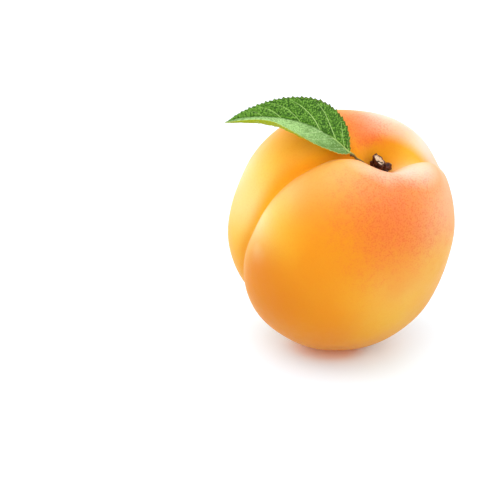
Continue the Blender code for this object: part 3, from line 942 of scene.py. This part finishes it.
def bark_finish(name, roughness):
    """Bark: dark red-brown with darker cracks, pale flecks painted as fine highlights, and pale fibrous wood
    where the wood field says so.
    """
    material, tree, shader, place = new_finish(name, Roughness=roughness)
    shader.inputs["Specular IOR Level"].default_value = 0.3
    grain = noise(tree, place, 0.7 * MM, 5.0)
    fine = noise(tree, place, 0.22 * MM, 4.0)
    colour = blend(tree, ramp(tree, grain, 0.38, 0.68), BARK_DARK, BARK_RED)
    # Painted fine highlights: pale flecks on the bark.
    colour = blend(tree, ramp(tree, fine, 0.55, 0.75, 0.0, 0.35), colour, BARK_PAINTED_GLINT)
    wood = blend(tree, ramp(tree, fine, 0.35, 0.65), WOOD_DARK, WOOD_PALE)
    wood = blend(tree, ramp(tree, field(tree, "split"), 0.25, 0.8), wood, BARK_DARK)
    colour = blend(tree, field(tree, "wood"), colour, wood)
    tree.links.new(colour, shader.inputs["Base Color"])
    low = bump(tree, grain, 0.12 * MM)
    tree.links.new(bump(tree, fine, 0.06 * MM, low), shader.inputs["Normal"])
    return material


# ------------------------------------------------------------------ studio

CAMERA_TILT = math.radians(20.0)
CAMERA_LENS = 100.0
CAMERA_SENSOR = 36.0
CAMERA_LEFT = 23.79 * MM
CAMERA_DOWN = 2.43 * MM
CAMERA_BACK = 305.0 * MM


def make_camera():
    """A long lens from 20 degrees above, a little to the left of the fruit."""
    upward = Vector((0.0, math.sin(CAMERA_TILT), math.cos(CAMERA_TILT)))
    back = Vector((0.0, -math.cos(CAMERA_TILT), math.sin(CAMERA_TILT)))
    camera_data = bpy.data.cameras.new("camera")
    camera_data.lens = CAMERA_LENS
    camera_data.sensor_width = CAMERA_SENSOR
    camera_data.clip_start = 0.01
    camera = bpy.data.objects.new("camera", camera_data)
    bpy.context.scene.collection.objects.link(camera)
    beside = Vector(MIDDLE) + Vector((-CAMERA_LEFT, 0.0, 0.0))
    camera.location = beside - CAMERA_DOWN * upward + CAMERA_BACK * back
    camera.rotation_euler = (math.pi / 2.0 - CAMERA_TILT, 0.0, 0.0)
    bpy.context.scene.camera = camera


def soft_box(name, heading, height, distance, size, power):
    """A square white area light aimed at the fruit, from a compass heading (0 is behind it, 90 to its right)
    and a height above the floor, in degrees."""
    light = bpy.data.lights.new(name, "AREA")
    light.size = size
    light.energy = power
    lamp = bpy.data.objects.new(name, light)
    bpy.context.scene.collection.objects.link(lamp)
    turn, rise = math.radians(heading), math.radians(height)
    way = Vector((math.sin(turn) * math.cos(rise), math.cos(turn) * math.cos(rise), math.sin(rise)))
    lamp.location = Vector(MIDDLE) + way * distance
    lamp.rotation_euler = way.to_track_quat("Z", "Y").to_euler()


SQUARE = ((-1.0, -1.0), (1.0, -1.0), (1.0, 1.0), (-1.0, 1.0))
WHITE = (1.0, 1.0, 1.0)
# The floor is tinted blue to cancel the orange light the fruit throws on it: a painted correction of light.
FLOOR_WHITE = (0.80, 0.88, 0.95)
FLOOR_HALF_SIZE = 3.0
FLOOR_GAP = 0.03 * MM
# What the floor glows with: orange about the place where light comes through the fruit, then pale and pale
# blue where the fruit's orange bounce has to be balanced.
GLOW_CENTRE = (-4.0 * MM, -4.0 * MM, 0.0)
GLOW_UNDER_FRUIT = (1.20, 0.42, 0.10)
GLOW_IN_SHADOW = (1.10, 1.40, 1.50)
GLOW_BESIDE_FRUIT = (0.50, 0.90, 1.10)


def make_studio():
    """A white floor, a white sky that is brighter behind and above the fruit, and four soft boxes.

    The sky shows pure white itself, and the floor's glow grows with distance until it meets that white.
    """
    scene = bpy.context.scene
    scene.view_settings.view_transform = "Standard"
    world = bpy.data.worlds.new("studio")
    scene.world = world
    world.use_nodes = True
    tree = world.node_tree
    background = tree.nodes["Background"]
    sky = add(tree, "ShaderNodeTexCoord").outputs["Generated"]
    depth = add(tree, "ShaderNodeVectorMath", {0: sky, 1: (0.0, 0.85, 0.5)}, operation="DOT_PRODUCT")
    strength = ramp(tree, depth.outputs["Value"], -0.7, 0.6, 0.66, 0.88)
    seen = add(tree, "ShaderNodeLightPath").outputs["Is Camera Ray"]
    strength = add(tree, "ShaderNodeMix", {0: seen, 2: strength, 3: 1.0}, data_type="FLOAT").outputs[0]
    tree.links.new(strength, background.inputs["Strength"])
    background.inputs["Color"].default_value = (*WHITE, 1.0)

    corners = [(x * FLOOR_HALF_SIZE, y * FLOOR_HALF_SIZE, -FLOOR_GAP) for x, y in SQUARE]
    floor_mesh = bpy.data.meshes.new("floor")
    floor_mesh.from_pydata(corners, [], [(0, 1, 2, 3)])
    paint, tree, shader, place = new_finish("floor_white", Roughness=0.45)
    shader.inputs["Base Color"].default_value = (*FLOOR_WHITE, 1.0)
    away = add(tree, "ShaderNodeVectorMath", {0: place}, operation="LENGTH").outputs["Value"]
    lit = add(tree, "ShaderNodeVectorMath", {0: place, 1: GLOW_CENTRE}, operation="DISTANCE").outputs["Value"]
    glow = blend(tree, ramp(tree, lit, 6.0 * MM, 11.5 * MM), GLOW_UNDER_FRUIT, GLOW_IN_SHADOW)
    glow = blend(tree, ramp(tree, away, 9.0 * MM, 18.0 * MM), glow, GLOW_BESIDE_FRUIT)
    glow = blend(tree, ramp(tree, away, 0.08, 0.20), glow, WHITE)
    tree.links.new(glow, shader.inputs["Emission Color"])
    tree.links.new(ramp(tree, away, 0.10, 0.60, 0.15, 0.60), shader.inputs["Emission Strength"])
    shader.inputs["Specular IOR Level"].default_value = 0.5
    floor_mesh.materials.append(paint)
    floor = bpy.data.objects.new("floor", floor_mesh)
    scene.collection.objects.link(floor)

    soft_box("left_box", -75.0, 45.0, 0.55, 0.45, 1.1)
    soft_box("right_box", 68.0, 40.0, 0.55, 0.45, 0.9)
    soft_box("back_box", 5.0, 60.0, 0.60, 0.70, 0.5)
    soft_box("front_box", 190.0, 46.0, 0.60, 0.60, 1.65)


make_camera()
make_studio()
make_fruit(skin_finish())
make_leaf(leaf_finish(), stalk_finish())
make_stem(bark_finish("stem_bark_rough", 0.55), bark_finish("bud_scale_gloss", 0.28))
